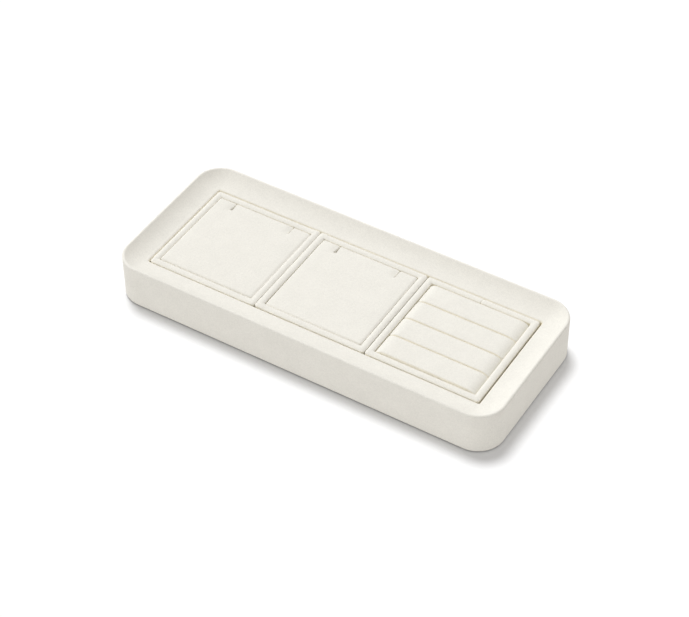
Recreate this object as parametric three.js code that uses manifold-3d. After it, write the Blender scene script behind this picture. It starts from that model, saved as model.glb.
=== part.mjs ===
// Jewellery display tray: a dished, suede-wrapped tray whose well holds three square inserts.
// Two inserts carry slit pads for pendants on chains, and the third carries foam rolls for rings.
// Millimetres, +Z up. The origin is the middle of the underside, +X runs along the tray, -Y is the front.

import * as THREE from "three";
import { mergeVertices } from "three/addons/utils/BufferGeometryUtils.js";
import loadManifold from "manifold-3d";

const wasm = await loadManifold();
wasm.setup();

// Driving dimensions of the tray
const INSERT_PITCH = 70;
const INSERT_COUNT = 3;
const RIM_WIDTH = 15;
const TRAY_HEIGHT = 27;
const RIM_DROP = 5.2;
const COVE_LEAST_SLOPE = 6;
const WELL_CORNER = 0.8;
const WELL_EDGE_RADIUS = 2;
const LIP_RADIUS = 1.1;
const FOOT_RADIUS = 1.8;
const TRAY_HEM = 12;
const BASE_BOARD_THICKNESS = 3;
const FELT_PROUD = 0.3;

// Driving dimensions of an insert, measured from the insert's own underside. The inserts lie pushed towards
// the left end, so the gaps on their left are narrow and the widest gap is at the right end of the well.
const INSERT_CLEARANCE = 0.3;
const GAPS_LEFT_OF_INSERTS = [0.35, 0.3, 0.42];
const INSERT_HEIGHT = 17;
const INSERT_CORNER = 1.6;
const INSERT_INNER_CORNER = 0.4;
const BEAD_WIDTH = 4.05;
const BEAD_CROWN_RADIUS = 2.8;
const BEAD_EDGE_RADIUS = 0.5;
const BEAD_LEAST_EDGE = 0.1;
const INSERT_FOOT_RADIUS = 1.2;
const INSERT_HEM = 7;
const INSERT_BASE_THICKNESS = 1.6;
const LEDGE_REACH = 7.5;

// Driving dimensions of a pendant pad
const PAD_SINK = 0.15;
const PAD_CORNER = 1.2;
const PAD_EDGE_RADIUS = 1;
const PAD_FOAM_THICKNESS = 3;
const PAD_BOARD_THICKNESS = 1.6;
const PAD_HEM = 4;
const SLIT_SPACING = 38.8;
const SLIT_LENGTH = 7;
const SLIT_WIDTH = 0.8;

// Driving dimensions of the ring rolls
const ROLL_COUNT = 4;
const ROLL_PROUD = 0.9;
const ROLL_GAP = 0.24;
const ROLL_SHOULDER = 1.3;
const ROLL_ROUNDNESS = 3;
const ROLL_END_DROP = 2.6;
const ROLL_END_LENGTH = 6;
const ROLL_END_TAPER = 0.6;
const ROLL_BOARD_THICKNESS = 1.6;

// Sheet goods, and the glue line left between any two of them
const SUEDE = 0.8;
const GLUE = 0.2;
const SKIN = SUEDE + GLUE;

// Facets
const TRAY_CORNER_STEPS = 6;
const INSERT_CORNER_STEPS = 2;
const ROLL_STATIONS = [0, 0.4, 0.7, 1];
const ROLL_SECTION_STEPS = 10;

// Sizes that follow from the driving dimensions
const WELL_HALF_X = (INSERT_COUNT * INSERT_PITCH) / 2;
const WELL_HALF_Y = INSERT_PITCH / 2;
const HEM_BOTTOM = FELT_PROUD;
const BASE_BOARD_BOTTOM = HEM_BOTTOM + SKIN;
const WELL_FLOOR = BASE_BOARD_BOTTOM + BASE_BOARD_THICKNESS + GLUE;
const INSERT_REST = WELL_FLOOR + SKIN;
const INSERT_HALF = INSERT_PITCH / 2 - INSERT_CLEARANCE;
const OPENING_HALF = INSERT_HALF - BEAD_WIDTH;
const FRAME_BOTTOM = SKIN + INSERT_BASE_THICKNESS + GLUE;
const PAD_HALF = OPENING_HALF - GLUE;
const PAD_TOP = INSERT_HEIGHT - PAD_SINK;
const PAD_FOAM_TOP = PAD_TOP - SKIN;
const PAD_BOARD_TOP = PAD_FOAM_TOP - PAD_FOAM_THICKNESS - GLUE;
const PAD_BOARD_BOTTOM = PAD_BOARD_TOP - PAD_BOARD_THICKNESS;
const PAD_BOTTOM = PAD_BOARD_BOTTOM - SKIN;
const LEDGE_TOP = PAD_BOTTOM - GLUE;
const ROLL_BOTTOM = FRAME_BOTTOM + ROLL_BOARD_THICKNESS + GLUE;
const ROLL_TOP = INSERT_HEIGHT + ROLL_PROUD;
const ROLL_PITCH = (2 * PAD_HALF) / ROLL_COUNT;

const finishes = {
  suede: { color: 0xf1eee5, roughness: 0.95, metalness: 0 },
  felt: { color: 0xe6e1d4, roughness: 1, metalness: 0 },
  board: { color: 0xc8b188, roughness: 0.85, metalness: 0 },
  card: { color: 0xdcd5c4, roughness: 0.9, metalness: 0 },
  foam: { color: 0xf4efdd, roughness: 1, metalness: 0 },
};

// Points along an arc in a profile or a plan, in degrees, turning the short way from one angle to the other.
function arc(x, y, radius, fromDegrees, toDegrees, steps) {
  const from = THREE.MathUtils.degToRad(fromDegrees);
  const to = THREE.MathUtils.degToRad(toDegrees);
  const curve = new THREE.EllipseCurve(x, y, radius, radius, from, to, to < from);
  return curve.getPoints(steps);
}

function point(x, y) {
  return new THREE.Vector2(x, y);
}

// A rounded rectangle as a loop of points, always the same number of them for the same steps.
function roundedLoop(halfX, halfY, radius, steps) {
  const x = halfX - radius;
  const y = halfY - radius;
  return [
    ...arc(x, -y, radius, -90, 0, steps),
    ...arc(x, y, radius, 0, 90, steps),
    ...arc(-x, y, radius, 90, 180, steps),
    ...arc(-x, -y, radius, 180, 270, steps),
  ];
}

// Turns the triangles over if the surface encloses a negative volume, so that its faces point out.
function facingOut(geometry) {
  const position = geometry.attributes.position;
  const corner = (index) => new THREE.Vector3().fromBufferAttribute(position, index);
  const index = Array.from(geometry.index.array);
  let volume = 0;
  for (let i = 0; i < index.length; i += 3) {
    volume += corner(index[i]).dot(corner(index[i + 1]).cross(corner(index[i + 2])));
  }
  if (volume < 0) {
    index.reverse();
  }
  geometry.setIndex(index);
  geometry.computeVertexNormals();
  return geometry;
}

// Joins rings of points into one closed surface. A run that doesn't meet its own start gets flat end caps.
function skinRings(rings, meetsItself) {
  const size = rings[0].length;
  const last = (rings.length - 1) * size;
  const triangles = [];
  const spans = meetsItself ? rings.length : rings.length - 1;
  for (let ring = 0; ring < spans; ring += 1) {
    const here = ring * size;
    const next = ((ring + 1) % rings.length) * size;
    for (let j = 0; j < size; j += 1) {
      const k = (j + 1) % size;
      triangles.push(here + j, here + k, next + k);
      triangles.push(here + j, next + k, next + j);
    }
  }
  for (let j = 1; j < size - 1 && !meetsItself; j += 1) {
    triangles.push(0, j + 1, j);
    triangles.push(last, last + j, last + j + 1);
  }
  const geometry = new THREE.BufferGeometry().setFromPoints(rings.flat());
  geometry.setIndex(triangles);
  return facingOut(geometry);
}

// Carries a profile of (offset, height) points round a plan loop that depends on the offset.
function planRings(profile, planAt) {
  return profile.map(({ x: offset, y: height }) =>
    planAt(offset).map((corner) => new THREE.Vector3(corner.x, corner.y, height)),
  );
}

function sweepRound(closedProfile, planAt) {
  return skinRings(planRings(closedProfile, planAt), true);
}

function trayPlan(offset) {
  return roundedLoop(WELL_HALF_X + offset, WELL_HALF_Y + offset, WELL_CORNER + offset, TRAY_CORNER_STEPS);
}

function insertPlan(offset) {
  const radius = Math.max(INSERT_CORNER - offset, INSERT_INNER_CORNER);
  return roundedLoop(INSERT_HALF - offset, INSERT_HALF - offset, radius, INSERT_CORNER_STEPS);
}

// A flat sheet with a rounded outline.
function sheet(halfX, halfY, radius, bottom, thickness) {
  const outline = new THREE.Shape(roundedLoop(halfX, halfY, radius, TRAY_CORNER_STEPS));
  const geometry = new THREE.ExtrudeGeometry(outline, { depth: thickness, bevelEnabled: false });
  return geometry.translate(0, 0, bottom);
}

function toSolid(geometry) {
  const bare = geometry.clone();
  bare.deleteAttribute("normal");
  bare.deleteAttribute("uv");
  const merged = mergeVertices(bare);
  const vertProperties = new Float32Array(merged.attributes.position.array);
  const triVerts = new Uint32Array(merged.index.array);
  return new wasm.Manifold(new wasm.Mesh({ numProp: 3, vertProperties, triVerts }));
}

// Cuts the later shapes out of the first one.
function cut(body, ...cutters) {
  const solid = cutters.reduce((rest, cutter) => rest.subtract(toSolid(cutter)), toSolid(body));
  const { vertProperties, triVerts } = solid.getMesh();
  const geometry = new THREE.BufferGeometry();
  geometry.setAttribute("position", new THREE.BufferAttribute(vertProperties, 3));
  geometry.setIndex(new THREE.BufferAttribute(triVerts, 1));
  geometry.computeVertexNormals();
  return geometry;
}

function piece(name, finish, geometry) {
  const mesh = new THREE.Mesh(geometry, new THREE.MeshStandardMaterial(finishes[finish]));
  mesh.name = name;
  return mesh;
}

// The round edge between the tray's outer wall and its underside, set in from the outside by a distance.
function footArc(inset, steps) {
  return arc(RIM_WIDTH - FOOT_RADIUS, HEM_BOTTOM + FOOT_RADIUS, FOOT_RADIUS - inset, 0, -90, steps);
}

// The rim's section from the well's edge to the foot, set in from its outside by a distance. The cove leaves
// the well's edge at its least slope and rises on one arc that runs smoothly into the round lip.
function rimSection(inset, steps) {
  const least = THREE.MathUtils.degToRad(COVE_LEAST_SLOPE);
  const coveSpan = RIM_WIDTH - LIP_RADIUS - WELL_EDGE_RADIUS
    + (WELL_EDGE_RADIUS - LIP_RADIUS) * Math.sin(least);
  const coveRise = RIM_DROP - LIP_RADIUS * (1 - Math.cos(least));
  const most = 2 * Math.atan(coveRise / coveSpan) - least;
  const coveRadius = coveSpan / (Math.sin(most) - Math.sin(least)) - LIP_RADIUS;
  const edgeZ = TRAY_HEIGHT - RIM_DROP - WELL_EDGE_RADIUS * Math.cos(least);
  const coveX = WELL_EDGE_RADIUS - (coveRadius + WELL_EDGE_RADIUS) * Math.sin(least);
  const coveZ = edgeZ + (coveRadius + WELL_EDGE_RADIUS) * Math.cos(least);
  const lipX = RIM_WIDTH - LIP_RADIUS;
  const lipZ = TRAY_HEIGHT - LIP_RADIUS;
  const turn = THREE.MathUtils.radToDeg(most);
  const start = 90 + COVE_LEAST_SLOPE;
  return [
    ...arc(WELL_EDGE_RADIUS, edgeZ, WELL_EDGE_RADIUS - inset, 180, start, steps.edge).slice(0, -1),
    ...arc(coveX, coveZ, coveRadius + inset, start - 180, turn - 90, steps.cove),
    ...arc(lipX, lipZ, LIP_RADIUS - inset, 90 + turn, 0, steps.lip).slice(1),
    ...footArc(inset, steps.edge),
  ];
}

function trayCover() {
  const steps = { edge: 3, cove: 7, lip: 6 };
  const hemEdge = RIM_WIDTH - TRAY_HEM;
  const outside = [point(0, WELL_FLOOR), ...rimSection(0, steps), point(hemEdge, HEM_BOTTOM)];
  const inside = [point(SUEDE, WELL_FLOOR), ...rimSection(SUEDE, steps), point(hemEdge, HEM_BOTTOM + SUEDE)];
  return sweepRound([...outside, ...inside.reverse()], trayPlan);
}

// The core is the rim's section cut off level where it stands on the base board.
function trayCore() {
  const steps = { edge: 1, cove: 5, lip: 3 };
  const aboveBoard = rimSection(SKIN, steps).filter((corner) => corner.y > WELL_FLOOR);
  const outerFoot = point(RIM_WIDTH - SKIN, WELL_FLOOR);
  return sweepRound([point(SKIN, WELL_FLOOR), ...aboveBoard, outerFoot], trayPlan);
}

// The base board's lower edge is rounded like the foot that wraps it.
function baseBoard() {
  const topEdge = point(RIM_WIDTH - SKIN, BASE_BOARD_BOTTOM + BASE_BOARD_THICKNESS);
  return skinRings(planRings([topEdge, ...footArc(SKIN, 2)], trayPlan), false);
}

function makeTray() {
  const feltInset = RIM_WIDTH - TRAY_HEM - GLUE;
  const feltHalfX = WELL_HALF_X + feltInset;
  const feltHalfY = WELL_HALF_Y + feltInset;
  const feltCorner = WELL_CORNER + feltInset;
  const lining = sheet(WELL_HALF_X - GLUE, WELL_HALF_Y - GLUE, WELL_CORNER, WELL_FLOOR, SUEDE);
  const felt = sheet(feltHalfX, feltHalfY, feltCorner, 0, FELT_PROUD + SUEDE);
  const tray = new THREE.Group();
  tray.add(
    piece("tray_core", "board", trayCore()),
    piece("tray_cover", "suede", trayCover()),
    piece("base_board", "board", baseBoard()),
    piece("floor_lining", "suede", lining),
    piece("base_felt", "felt", felt),
  );
  return tray;
}

// The bead's top, set in from its outside by a distance: a shallow crown between two round edges.
function beadTop(inset) {
  const middle = BEAD_WIDTH / 2;
  const half = middle - inset;
  const crown = BEAD_CROWN_RADIUS - inset;
  const edge = Math.max(BEAD_EDGE_RADIUS - inset, BEAD_LEAST_EDGE);
  const lean = Math.asin((half - edge) / (crown - edge));
  const crownZ = INSERT_HEIGHT - BEAD_CROWN_RADIUS;
  const edgeZ = crownZ + (crown - edge) * Math.cos(lean);
  const tilt = THREE.MathUtils.radToDeg(lean);
  return [
    ...arc(inset + edge, edgeZ, edge, 180, 90 + tilt, 2),
    ...arc(middle, crownZ, crown, 90 + tilt, 90 - tilt, 4).slice(1, -1),
    ...arc(BEAD_WIDTH - inset - edge, edgeZ, edge, 90 - tilt, 0, 2),
  ];
}

// The frame's section from its foot, up the outer wall, over the bead and down the inner wall.
function frameSection(inset, innerFoot) {
  const footRadius = INSERT_FOOT_RADIUS;
  return [
    ...arc(footRadius, footRadius, footRadius - inset, 270, 180, 2),
    ...beadTop(inset),
    point(BEAD_WIDTH - inset, innerFoot),
  ];
}

// The skin is turned under as a hem. Inside it is turned onto the ledge, or runs down to the roll board.
function frameCover(hasLedge) {
  const innerFoot = hasLedge ? LEDGE_TOP : ROLL_BOTTOM;
  const innerFold = hasLedge ? LEDGE_TOP - SUEDE : ROLL_BOTTOM;
  const flange = hasLedge ? [point(LEDGE_REACH, LEDGE_TOP), point(LEDGE_REACH, LEDGE_TOP - SUEDE)] : [];
  const outside = [point(INSERT_HEM, 0), ...frameSection(0, innerFoot)];
  const inside = [point(INSERT_HEM, SUEDE), ...frameSection(SUEDE, innerFold)];
  return sweepRound([...outside, ...flange, ...inside.reverse()], insertPlan);
}

function frameCore(hasLedge) {
  const ledgeTop = LEDGE_TOP - SKIN;
  const innerFoot = hasLedge ? ledgeTop : FRAME_BOTTOM;
  const ledge = hasLedge ? [point(LEDGE_REACH, ledgeTop), point(LEDGE_REACH, FRAME_BOTTOM)] : [];
  const aboveBase = frameSection(SKIN, innerFoot).filter((corner) => corner.y >= FRAME_BOTTOM);
  return sweepRound([point(SKIN, FRAME_BOTTOM), ...aboveBase, ...ledge], insertPlan);
}

function makeFrame(name, hasLedge) {
  const baseHalf = INSERT_HALF - SKIN;
  const base = sheet(baseHalf, baseHalf, INSERT_CORNER - SKIN, SKIN, INSERT_BASE_THICKNESS);
  const frame = new THREE.Group();
  frame.add(
    piece(`${name}_frame_core`, "board", frameCore(hasLedge)),
    piece(`${name}_frame_cover`, "suede", frameCover(hasLedge)),
    piece(`${name}_insert_base`, "card", base),
  );
  return frame;
}

// The pad's outline, with two slits that run in from its back edge and end round.
function padOutline(half, corner, slitHalfWidth) {
  const outline = new THREE.Shape();
  const slitEnd = PAD_HALF - SLIT_LENGTH + SLIT_WIDTH / 2;
  const inner = half - corner;
  outline.moveTo(-inner, -half);
  outline.absarc(inner, -inner, corner, -Math.PI / 2, 0, false);
  outline.absarc(inner, inner, corner, 0, Math.PI / 2, false);
  for (const slitX of [SLIT_SPACING / 2, -SLIT_SPACING / 2]) {
    outline.lineTo(slitX + slitHalfWidth, half);
    outline.absarc(slitX, slitEnd, slitHalfWidth, 0, Math.PI, true);
    outline.lineTo(slitX - slitHalfWidth, half);
  }
  outline.absarc(-inner, inner, corner, Math.PI / 2, Math.PI, false);
  outline.absarc(-inner, -inner, corner, Math.PI, 1.5 * Math.PI, false);
  return outline;
}

// A layer of the pad, set in from the pad's outside by a distance, with its edges rounded over.
function padLayer(inset, bottom, top, edgeRadius) {
  const drawnIn = inset + edgeRadius;
  const corner = Math.max(PAD_CORNER - inset, INSERT_INNER_CORNER);
  const outline = padOutline(PAD_HALF - drawnIn, corner, SLIT_WIDTH / 2 + drawnIn);
  const geometry = new THREE.ExtrudeGeometry(outline, {
    depth: top - bottom - 2 * edgeRadius,
    bevelEnabled: edgeRadius > 0,
    bevelThickness: edgeRadius,
    bevelSize: edgeRadius,
    bevelSegments: 2,
    curveSegments: 1,
  });
  return geometry.translate(0, 0, bottom + edgeRadius);
}

function makePad(name) {
  const fillRadius = PAD_EDGE_RADIUS - SUEDE;
  const filling = padLayer(SUEDE, PAD_BOTTOM + SUEDE, PAD_TOP - SUEDE, fillRadius);
  const hemOpening = padLayer(PAD_HEM, PAD_BOTTOM - SUEDE, PAD_BOTTOM + 2 * SUEDE, 0);
  const cover = cut(padLayer(0, PAD_BOTTOM, PAD_TOP, PAD_EDGE_RADIUS), filling, hemOpening);
  const pad = new THREE.Group();
  pad.add(
    piece(`${name}_pad_board`, "card", padLayer(SKIN, PAD_BOARD_BOTTOM, PAD_BOARD_TOP, 0)),
    piece(`${name}_pad_foam`, "foam", padLayer(SKIN, PAD_BOARD_TOP + GLUE, PAD_FOAM_TOP, fillRadius)),
    piece(`${name}_pad_cover`, "suede", cover),
  );
  return pad;
}

// A roll's section: a flat bottom, upright sides where the rolls press together, and a crowned top, as
// (across, height) points.
function rollSection(halfWidth, bottom, top) {
  const section = [point(halfWidth, bottom)];
  for (let step = 0; step <= ROLL_SECTION_STEPS; step += 1) {
    const angle = (Math.PI * step) / ROLL_SECTION_STEPS;
    const across = Math.cos(angle);
    section.push(point(halfWidth * across, top - ROLL_SHOULDER * Math.abs(across) ** ROLL_ROUNDNESS));
  }
  section.push(point(-halfWidth, bottom));
  return section;
}

// A roll along X whose top falls away and whose sides draw in towards both ends.
function rollForm(inset, bottom) {
  const halfLength = PAD_HALF - inset;
  const halfWidth = (ROLL_PITCH - ROLL_GAP) / 2 - inset;
  const ending = ROLL_STATIONS.map((t) => ({
    x: halfLength - ROLL_END_LENGTH * (1 - t),
    fall: t * t,
  }));
  const beginning = ending.map(({ x, fall }) => ({ x: -x, fall })).reverse();
  const rings = [...beginning, ...ending].map(({ x, fall }) =>
    rollSection(halfWidth - ROLL_END_TAPER * fall, bottom, ROLL_TOP - inset - ROLL_END_DROP * fall).map(
      (corner) => new THREE.Vector3(x, corner.x, corner.y),
    ),
  );
  return skinRings(rings, false);
}

function makeRolls(name) {
  const boardHalf = INSERT_HALF - BEAD_WIDTH + SKIN - GLUE;
  const rolls = new THREE.Group();
  const board = sheet(boardHalf, boardHalf, INSERT_INNER_CORNER, FRAME_BOTTOM, ROLL_BOARD_THICKNESS);
  rolls.add(piece(`${name}_roll_board`, "card", board));
  for (let roll = 0; roll < ROLL_COUNT; roll += 1) {
    const cover = cut(rollForm(0, ROLL_BOTTOM), rollForm(SUEDE, ROLL_BOTTOM - SUEDE));
    const strip = new THREE.Group();
    strip.position.y = (roll - (ROLL_COUNT - 1) / 2) * ROLL_PITCH;
    strip.add(
      piece(`${name}_roll_foam_${roll + 1}`, "foam", rollForm(SKIN, ROLL_BOTTOM)),
      piece(`${name}_roll_cover_${roll + 1}`, "suede", cover),
    );
    rolls.add(strip);
  }
  return rolls;
}

// The middle of the first, second or third insert from the left.
function insertCentre(place) {
  const gaps = GAPS_LEFT_OF_INSERTS.slice(0, place + 1).reduce((sum, gap) => sum + gap);
  return gaps + (2 * place + 1) * INSERT_HALF - WELL_HALF_X;
}

function makeInsert(place, name, makeCushion, hasLedge) {
  const insert = new THREE.Group();
  insert.position.set(insertCentre(place), 0, INSERT_REST);
  insert.add(makeFrame(name, hasLedge), makeCushion(name));
  return insert;
}

const displayTray = new THREE.Group();
displayTray.add(
  makeTray(),
  makeInsert(0, "left", makePad, true),
  makeInsert(1, "middle", makePad, true),
  makeInsert(2, "ring", makeRolls, false),
);

export default displayTray;
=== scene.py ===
"""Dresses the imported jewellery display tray: suede skins, padded inserts, soft rolls, boards and a stage."""

import math

import bmesh
import bpy
import numpy as np
from bpy.props import FloatProperty, FloatVectorProperty, IntProperty, PointerProperty
from mathutils import Matrix, Vector, noise
from mathutils.geometry import delaunay_2d_cdt


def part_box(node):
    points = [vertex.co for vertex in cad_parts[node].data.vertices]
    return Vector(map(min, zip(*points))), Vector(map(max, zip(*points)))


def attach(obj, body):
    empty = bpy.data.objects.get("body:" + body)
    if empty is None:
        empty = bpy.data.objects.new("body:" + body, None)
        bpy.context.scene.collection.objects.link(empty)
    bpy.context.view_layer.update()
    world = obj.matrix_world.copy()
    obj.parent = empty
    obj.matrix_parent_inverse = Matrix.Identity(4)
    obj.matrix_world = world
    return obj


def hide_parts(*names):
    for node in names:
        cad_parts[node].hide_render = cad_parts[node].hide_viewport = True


bl_info = {
    "name": "Jewellery Display Tray",
    "version": (1, 0, 0),
    "blender": (4, 5, 0),
    "location": "3D View > Sidebar > Display Tray",
    "description": "Suede-wrapped tray with two slit pads and one row of soft rolls",
    "category": "Object",
}

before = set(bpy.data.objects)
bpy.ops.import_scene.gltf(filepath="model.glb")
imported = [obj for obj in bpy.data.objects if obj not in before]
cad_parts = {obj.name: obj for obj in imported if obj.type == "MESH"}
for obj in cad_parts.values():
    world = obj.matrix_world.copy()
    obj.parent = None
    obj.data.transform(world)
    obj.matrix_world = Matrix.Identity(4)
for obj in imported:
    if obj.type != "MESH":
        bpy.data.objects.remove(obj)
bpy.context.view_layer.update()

INSERT_BODIES = {"left": "left_insert", "middle": "middle_insert", "ring": "ring_insert"}
PAD_BODIES = {"left": "left_pad", "middle": "middle_pad"}
MM = 0.001
# Points nearer than this are one point
SAME_POINT = 1e-9
# Points of a finished mesh that lie nearer than this are welded
WELD_DISTANCE = 1e-7
# Edges that turn further than this stay sharp
SHARP_ANGLE = math.radians(52)
# How far each seed moves the pattern of the waves
SEED_SHIFT = (7.3, 3.1, 5.7)
# Distance between the points of a flat face
FLAT_STEP = 4 * MM
# Depth at which the painted shade on a hollow's walls has taken its full tone
HOLLOW_SHADE_DEPTH = 1.4 * MM
# The middle pad lies a little low at its front left corner
SUNK_CORNERS = {"middle": 0.6 * MM}
# How much of its softer rounding the right edge of each pad has
SOFT_SIDES = {"left": 1.0, "middle": 0.7}
# The left insert sits a little nearer to the front of the well
SET_FORWARD = {"left": 0.18 * MM}
# The left and the middle frame meet at a right and a left bead
MEETING_SIDES = {"left": 1, "middle": -1}


def length(name, description, default):
    """A size in metres that the sidebar shows as a length."""
    return FloatProperty(
        name=name,
        description=description,
        default=default,
        min=0,
        precision=5,
        subtype="DISTANCE",
        unit="LENGTH",
    )


def tint(name, description, default):
    """A colour that the sidebar shows as a swatch, in linear values."""
    return FloatVectorProperty(
        name=name, description=description, default=default, size=3, min=0, max=1, subtype="COLOR"
    )


def strength(name, description, default):
    """A plain factor."""
    return FloatProperty(name=name, description=description, default=default, min=0)


def angle(name, description, degrees):
    """An angle that the sidebar shows in degrees."""
    return FloatProperty(name=name, description=description, default=math.radians(degrees), subtype="ANGLE")


# Sizes and colours that a user would change


class TraySizes(bpy.types.PropertyGroup):
    """The tray's rim and its linings."""

    rim_width: length("Rim width", "From the well's edge to the outer wall", 15 * MM)
    rim_drop: length("Rim drop", "How far the cove falls from the lip to the well", 5 * MM)
    cove_least: angle("Cove least slope", "Slope at which the cove leaves the well's edge", 6)
    well_corner: length("Well corner", "Radius of the well's corners in plan", 0.8 * MM)
    well_edge: length("Well edge", "Radius of the edge where the cove turns into the well", 1.5 * MM)
    lip: length("Lip radius", "Radius of the lip at the top of the outer wall", 1.1 * MM)
    foot: length("Foot radius", "Radius of the edge between the outer wall and the underside", 1 * MM)
    hem: length("Hem", "Width of the suede that is turned under the tray", 12 * MM)
    suede: length("Suede", "Thickness of the suede", 0.8 * MM)
    sweep_step: length("Sweep step", "Distance between the sections along the rim", 1.4 * MM)
    unevenness: length("Unevenness", "How far the glued skin wanders from true", 0.05 * MM)
    unevenness_size: length("Unevenness size", "Size of the skin's soft waves", 16 * MM)
    seed: IntProperty(name="Seed", description="Picks the pattern of the unevenness", default=11)


class InsertSizes(bpy.types.PropertyGroup):
    """The bead frames of the three inserts."""

    bead: length("Bead width", "Width of the bead", 4.05 * MM)
    bead_crown: length("Bead crown", "Radius of the bead's crown", 3 * MM)
    bead_edge: length("Bead edge", "Radius of the bead's two edges", 0.55 * MM)
    corner: length("Corner", "Radius of the outer corners in plan", 1.6 * MM)
    inner_corner: length("Inner corner", "Radius of the opening's corners", 0.4 * MM)
    foot: length("Foot radius", "Radius of the lower outer edge", 1.2 * MM)
    hem: length("Hem", "Width of the suede turned under the insert", 7 * MM)
    ledge: length("Ledge reach", "From the outer wall to the end of the ledge that carries a pad", 7.5 * MM)
    meeting_rise: length("Meeting rise", "How much higher the beads stand where two frames meet", 0.3 * MM)
    meeting_swell: length("Meeting swell", "How far the middle frame swells towards the left one", 0.2 * MM)
    seam_depth: length("Seam depth", "Depth of the butt seam across the right frame's back bead", 0.28 * MM)
    seam_width: length("Seam width", "Width of that seam", 0.34 * MM)


class PadSizes(bpy.types.PropertyGroup):
    """The two slit pads."""

    corner: length("Corner", "Radius of the pad's corners in plan", 1.2 * MM)
    edge: length("Edge radius", "Radius of the padded upper edge", 1 * MM)
    lower_edge: length("Lower edge", "Radius of the folded lower edge", 0.5 * MM)
    hem: length("Hem", "Width of the suede turned under the card", 4 * MM)
    crown: length("Crown", "How far the foam lifts the pad just inside its edges", 0.32 * MM)
    puff: length("Puff", "How much higher the stuffed pad stands in its middle", 0.2 * MM)
    slit_spacing: length("Slit spacing", "Distance between a pad's two slits", 38.8 * MM)
    slit_length: length("Slit length", "How far a slit runs in from the back edge", 7 * MM)
    slit_width: length("Slit width", "Width of a slit where its lips almost meet", 0.3 * MM)
    slit_wedge: length("Slit wedge", "How much wider the left slit is at its inner end", 1.2 * MM)
    slit_lip: length("Slit lip", "Radius of a slit's lips", 0.4 * MM)
    slit_mouth: length("Slit mouth", "Radius of the corners where a slit meets the back edge", 0.8 * MM)
    slit_dip: length("Slit dip", "How far a slit's left lip sinks", 0.75 * MM)
    slit_dip_width: length("Dip width", "How far that dip reaches into the pad", 2.6 * MM)
    swell: length("Swell", "How far the stuffed walls stand out towards the bead", 0.12 * MM)
    soft_edge: length("Soft edge", "Radius of the softer rounding along the right edge", 3 * MM)
    soft_slope: angle("Soft slope", "Slope that the softer rounding reaches at the wall", 32)
    back_play: length("Back play", "How much wider the gap behind a pad is than the others", 0.25 * MM)
    fill_step: length("Fill step", "Distance between the points of the padded top", 0.7 * MM)


class RollSizes(bpy.types.PropertyGroup):
    """The row of soft rolls."""

    count: IntProperty(name="Rolls", description="Number of rolls side by side", default=4)
    shoulder: length("Shoulder", "How far the crown falls to the sides", 0.35 * MM)
    roundness: strength("Roundness", "Exponent of the crowned section", 3)
    pinch: length("Pinch", "How much deeper the skin is drawn in between two rolls", 1 * MM)
    end_length: length("End length", "Length over which an end rounds down", 8 * MM)
    end_drop: length("End drop", "How far the top falls at an end", 2.4 * MM)
    # Painted shade: the share of the hollows' warmer, darker painted shade that the rolls' grooves take
    groove_shade: strength("Groove warmth", "Share of the hollows' warmer tone in the grooves", 0.4)
    front_set: length("Front set", "How far the first roll is pushed towards the front bead", 0.2 * MM)
    back_play: length("Back play", "How much wider the gap behind the last roll is", 0.58 * MM)
    end_edge: length("End edge", "Radius of the edges round a roll's end", 0.35 * MM)
    unevenness: length("Unevenness", "How far the padding wanders from true", 0.1 * MM)
    unevenness_size: length("Unevenness size", "Size of the padding's soft lumps", 9 * MM)
    seed: IntProperty(name="Seed", description="Picks the pattern of the padding", default=5)


class Finishes(bpy.types.PropertyGroup):
    """The colours of the materials."""

    suede: tint("Suede", "Ivory microfibre suede", (0.86, 0.835, 0.765))
    # Painted shade: a warmer, darker suede colour put on walls inside hollows and in the rolls' grooves, where
    # shade falls
    recess: tint("Recess", "The warmer tone of the suede inside a hollow", (0.89, 0.815, 0.62))
    felt: tint("Felt", "Wool felt under the tray", (0.79, 0.75, 0.66))
    board: tint("Board", "Fibreboard of the tray and the frames", (0.58, 0.44, 0.24))
    card: tint("Card", "Grey card under the pads and the rolls", (0.70, 0.66, 0.56))


class StageSizes(bpy.types.PropertyGroup):
    """The floor, the light and the camera."""

    floor: tint("Floor", "Plain pale floor", (0.91, 0.92, 0.935))
    floor_bounce: tint("Floor bounce", "The duller floor that throws light back on the tray", (0.3, 0.3, 0.3))
    floor_glow: strength("Floor glow", "The even part of the light that the floor throws back", 0.62)
    contact: length("Contact", "Distance within which the floor gives no even light", 1.6 * MM)
    sky: strength("Sky", "Strength of the even light from all round", 0.514)
    sky_colour: tint("Sky colour", "A slightly warm white for the even light", (1, 0.975, 0.95))
    lamp_colour: tint("Lamp colour", "A slightly cool white for the key and the fill", (0.935, 0.96, 0.99))
    key: strength("Key", "Strength of the broad light from the back left", 1.62)
    key_azimuth: angle("Key azimuth", "Where the key stands, round from +X", 150)
    key_elevation: angle("Key elevation", "How high the key stands", 45)
    fill: strength("Fill", "Strength of the weaker light from the front left", 0.683)
    fill_azimuth: angle("Fill azimuth", "Where the fill stands, round from +X", 240)
    fill_elevation: angle("Fill elevation", "How high the fill stands", 60)
    lamp_softness: angle("Lamp softness", "How wide the key and the fill are", 25)
    floor_lamp: strength("Floor lamp", "Strength of the high light that falls on the floor alone", 2.05)
    floor_lamp_azimuth: angle("Floor lamp azimuth", "Where the floor's light stands, round from +X", 142)
    floor_lamp_elevation: angle("Floor lamp elevation", "How high the floor's light stands", 70.5)
    floor_lamp_softness: angle("Floor lamp softness", "How wide the floor's light is", 18)


# Node trees


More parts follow.
